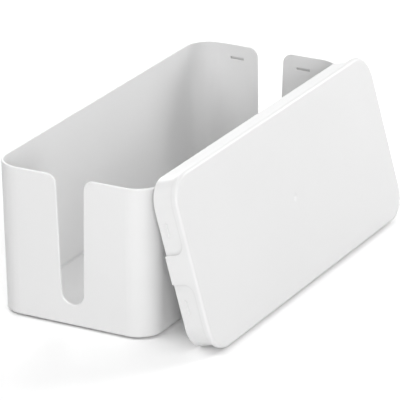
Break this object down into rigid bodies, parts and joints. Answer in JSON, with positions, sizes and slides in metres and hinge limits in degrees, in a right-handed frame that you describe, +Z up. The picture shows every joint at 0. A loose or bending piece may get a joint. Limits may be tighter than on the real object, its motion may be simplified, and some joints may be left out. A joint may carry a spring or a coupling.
{
  "type": "cable management box",
  "caption": "Long open box with a U-shaped cable slot in each short end and a lift-off lid with end tabs, which leans against its long wall; it hides a power strip and its cables.",
  "frame": {"origin": "under the middle of the tub, on the surface that the box stands on, 1.7 mm below the tub's underside", "axes": "+Z up, +X along the box from the end nearest the camera to the far end, and -Y towards the side that the lid leans on"},
  "size_m": [0.3315, 0.1913, 0.1342],
  "materials": {
    "box_plastic": "satin white, fine moulded texture",
    "lid_plastic": "satin white, fine moulded texture",
    "foot_rubber": "matt grey"
  },
  "bodies": {
    "tub": {"tub": "box_plastic", "foot_near_lid_side": "foot_rubber", "foot_near_open_side": "foot_rubber", "foot_far_lid_side": "foot_rubber", "foot_far_open_side": "foot_rubber"},
    "lid": {"lid": "lid_plastic"}
  },
  "joints": [
    {"name": "lid_lift", "type": "slide", "parent": "tub", "child": "lid", "axis": [0, 0, 1], "range_m": [0, 0.15]}
  ]
}
